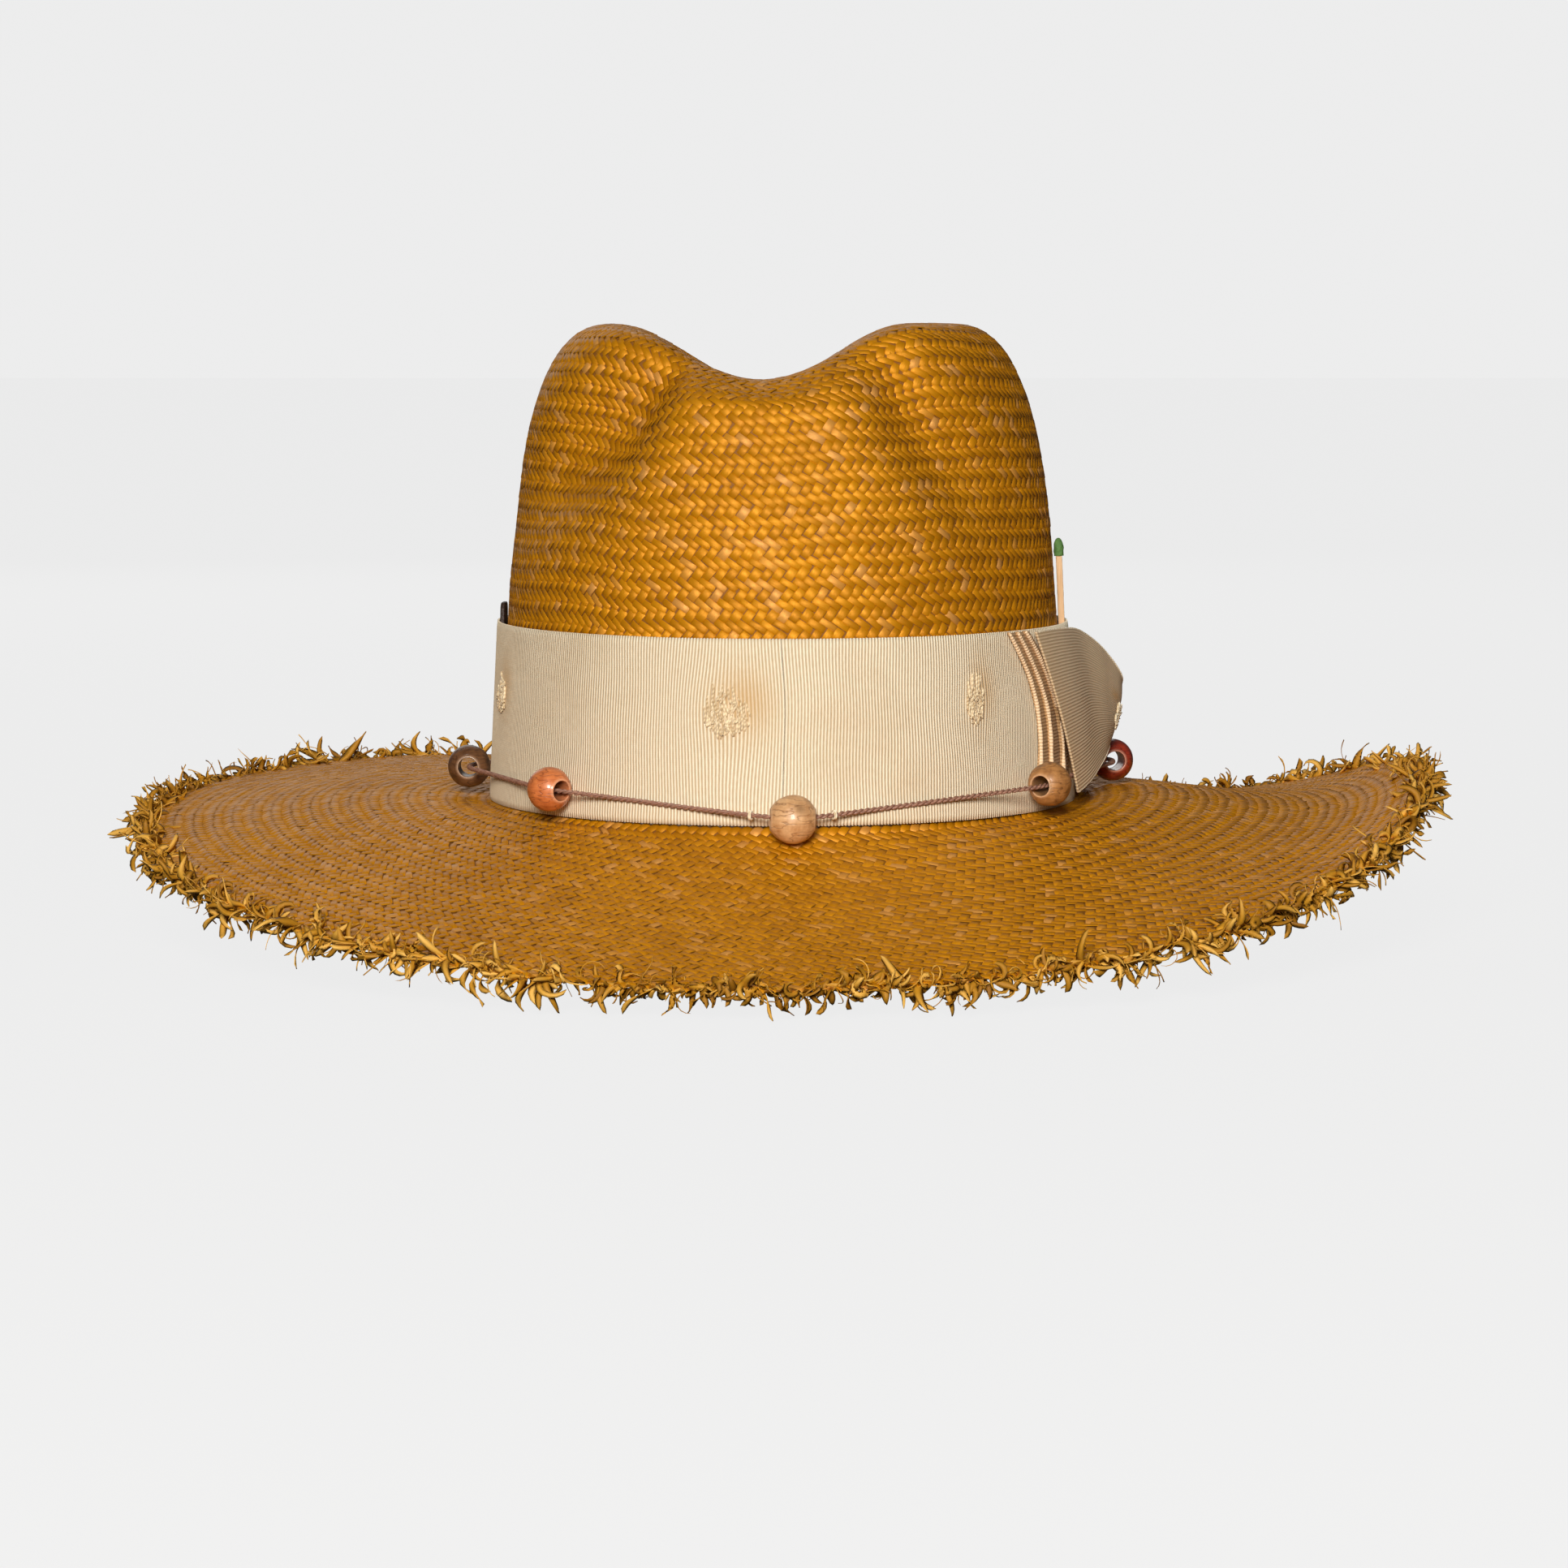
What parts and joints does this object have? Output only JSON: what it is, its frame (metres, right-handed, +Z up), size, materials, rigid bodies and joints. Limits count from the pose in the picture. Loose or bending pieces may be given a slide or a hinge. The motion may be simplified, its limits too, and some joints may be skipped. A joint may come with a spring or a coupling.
{
  "type": "straw sun hat",
  "caption": "Wide-brimmed woven straw hat with a creased crown, frayed brim edge, ribbed ribbon band with a bow, wooden beads on a cord, and a match tucked in the band.",
  "frame": {"origin": "middle of the head opening, in the plane where the crown meets the brim", "axes": "+Z up along the crown; the hat faces -Y; +X is the wearer's left, where the bow and the match are"},
  "size_m": [0.3988, 0.4276, 0.182],
  "materials": {
    "straw": "woven dyed straw with a soft sheen",
    "straw_ends": "raw frayed straw ends",
    "sweatband_leather": "smooth tan leather",
    "reed": "matt",
    "thread": "twisted cream thread",
    "grosgrain": "ribbed grosgrain in cream and tan",
    "cord": "waxed two-ply cord",
    "tab_leather": "dark worn leather",
    "match_wood": "bare pale wood",
    "match_tip": "dipped, matt green",
    "bead_natural": "polished pale wood",
    "bead_brown": "polished mottled wood",
    "bead_dark": "polished dark wood",
    "bead_red": "lacquered red wood",
    "bead_orange": "lacquered orange wood"
  },
  "bodies": {
    "hat": {"crown": "straw", "brim": "straw", "frayed_edge": "straw_ends", "sweatband": "sweatband_leather", "sweatband_reed": "reed", "sweatband_stitches": "thread", "hat_band": "grosgrain", "bow_pleats": "grosgrain", "bow_loop": "grosgrain", "bow_folded_tail": "grosgrain", "bead_cord": "cord", "cord_tack_stitches": "thread", "cord_knot": "cord", "leather_tab": "tab_leather"},
    "match": {"match_stick": "match_wood", "match_head": "match_tip"},
    "bead_front_natural_body": {"bead_front_natural": "bead_natural"},
    "bead_right_front_brown_body": {"bead_right_front_brown": "bead_brown"},
    "bead_right_dark_red_body": {"bead_right_dark_red": "bead_red"},
    "bead_back_right_natural_body": {"bead_back_right_natural": "bead_natural"},
    "bead_back_orange_body": {"bead_back_orange": "bead_orange"},
    "bead_back_left_brown_body": {"bead_back_left_brown": "bead_brown"},
    "bead_left_dark_brown_body": {"bead_left_dark_brown": "bead_dark"},
    "bead_left_front_orange_body": {"bead_left_front_orange": "bead_orange"}
  },
  "joints": [
    {"name": "match_pull", "type": "slide", "parent": "hat", "child": "match", "axis": [-0.0435, 0.0015, 0.9991], "range_m": [0, 0.018]},
    {"name": "bead_front_natural_spin", "type": "hinge", "parent": "hat", "child": "bead_front_natural_body", "pos_m": [0.00299, -0.11274, 0.0039], "axis": [0.9987, 0.0513, 0], "continuous": true},
    {"name": "bead_right_front_brown_spin", "type": "hinge", "parent": "hat", "child": "bead_right_front_brown_body", "pos_m": [0.07782, -0.06696, 0.0102], "axis": [0.5294, 0.8476, 0.0359], "continuous": true},
    {"name": "bead_right_dark_red_spin", "type": "hinge", "parent": "hat", "child": "bead_right_dark_red_body", "pos_m": [0.10059, 0.01856, 0.0106], "axis": [-0.1457, 0.9893, -0.0073], "continuous": true},
    {"name": "bead_back_right_natural_spin", "type": "hinge", "parent": "hat", "child": "bead_back_right_natural_body", "pos_m": [0.05794, 0.08914, 0.009], "axis": [-0.7257, 0.6875, -0.0253], "continuous": true},
    {"name": "bead_back_orange_spin", "type": "hinge", "parent": "hat", "child": "bead_back_orange_body", "pos_m": [0.00148, 0.11202, 0.0075], "axis": [-0.9998, 0.0175, -0.0006], "continuous": true},
    {"name": "bead_back_left_brown_spin", "type": "hinge", "parent": "hat", "child": "bead_back_left_brown_body", "pos_m": [-0.05794, 0.08914, 0.009], "axis": [-0.7411, -0.6712, 0.0174], "continuous": true},
    {"name": "bead_left_dark_brown_spin", "type": "hinge", "parent": "hat", "child": "bead_left_dark_brown_body", "pos_m": [-0.09485, 0.00441, 0.0098], "axis": [-0.0232, -0.9997, 0.0037], "continuous": true},
    {"name": "bead_left_front_orange_spin", "type": "hinge", "parent": "hat", "child": "bead_left_front_orange_body", "pos_m": [-0.06732, -0.07884, 0.0097], "axis": [0.6531, -0.7564, -0.0363], "continuous": true}
  ]
}
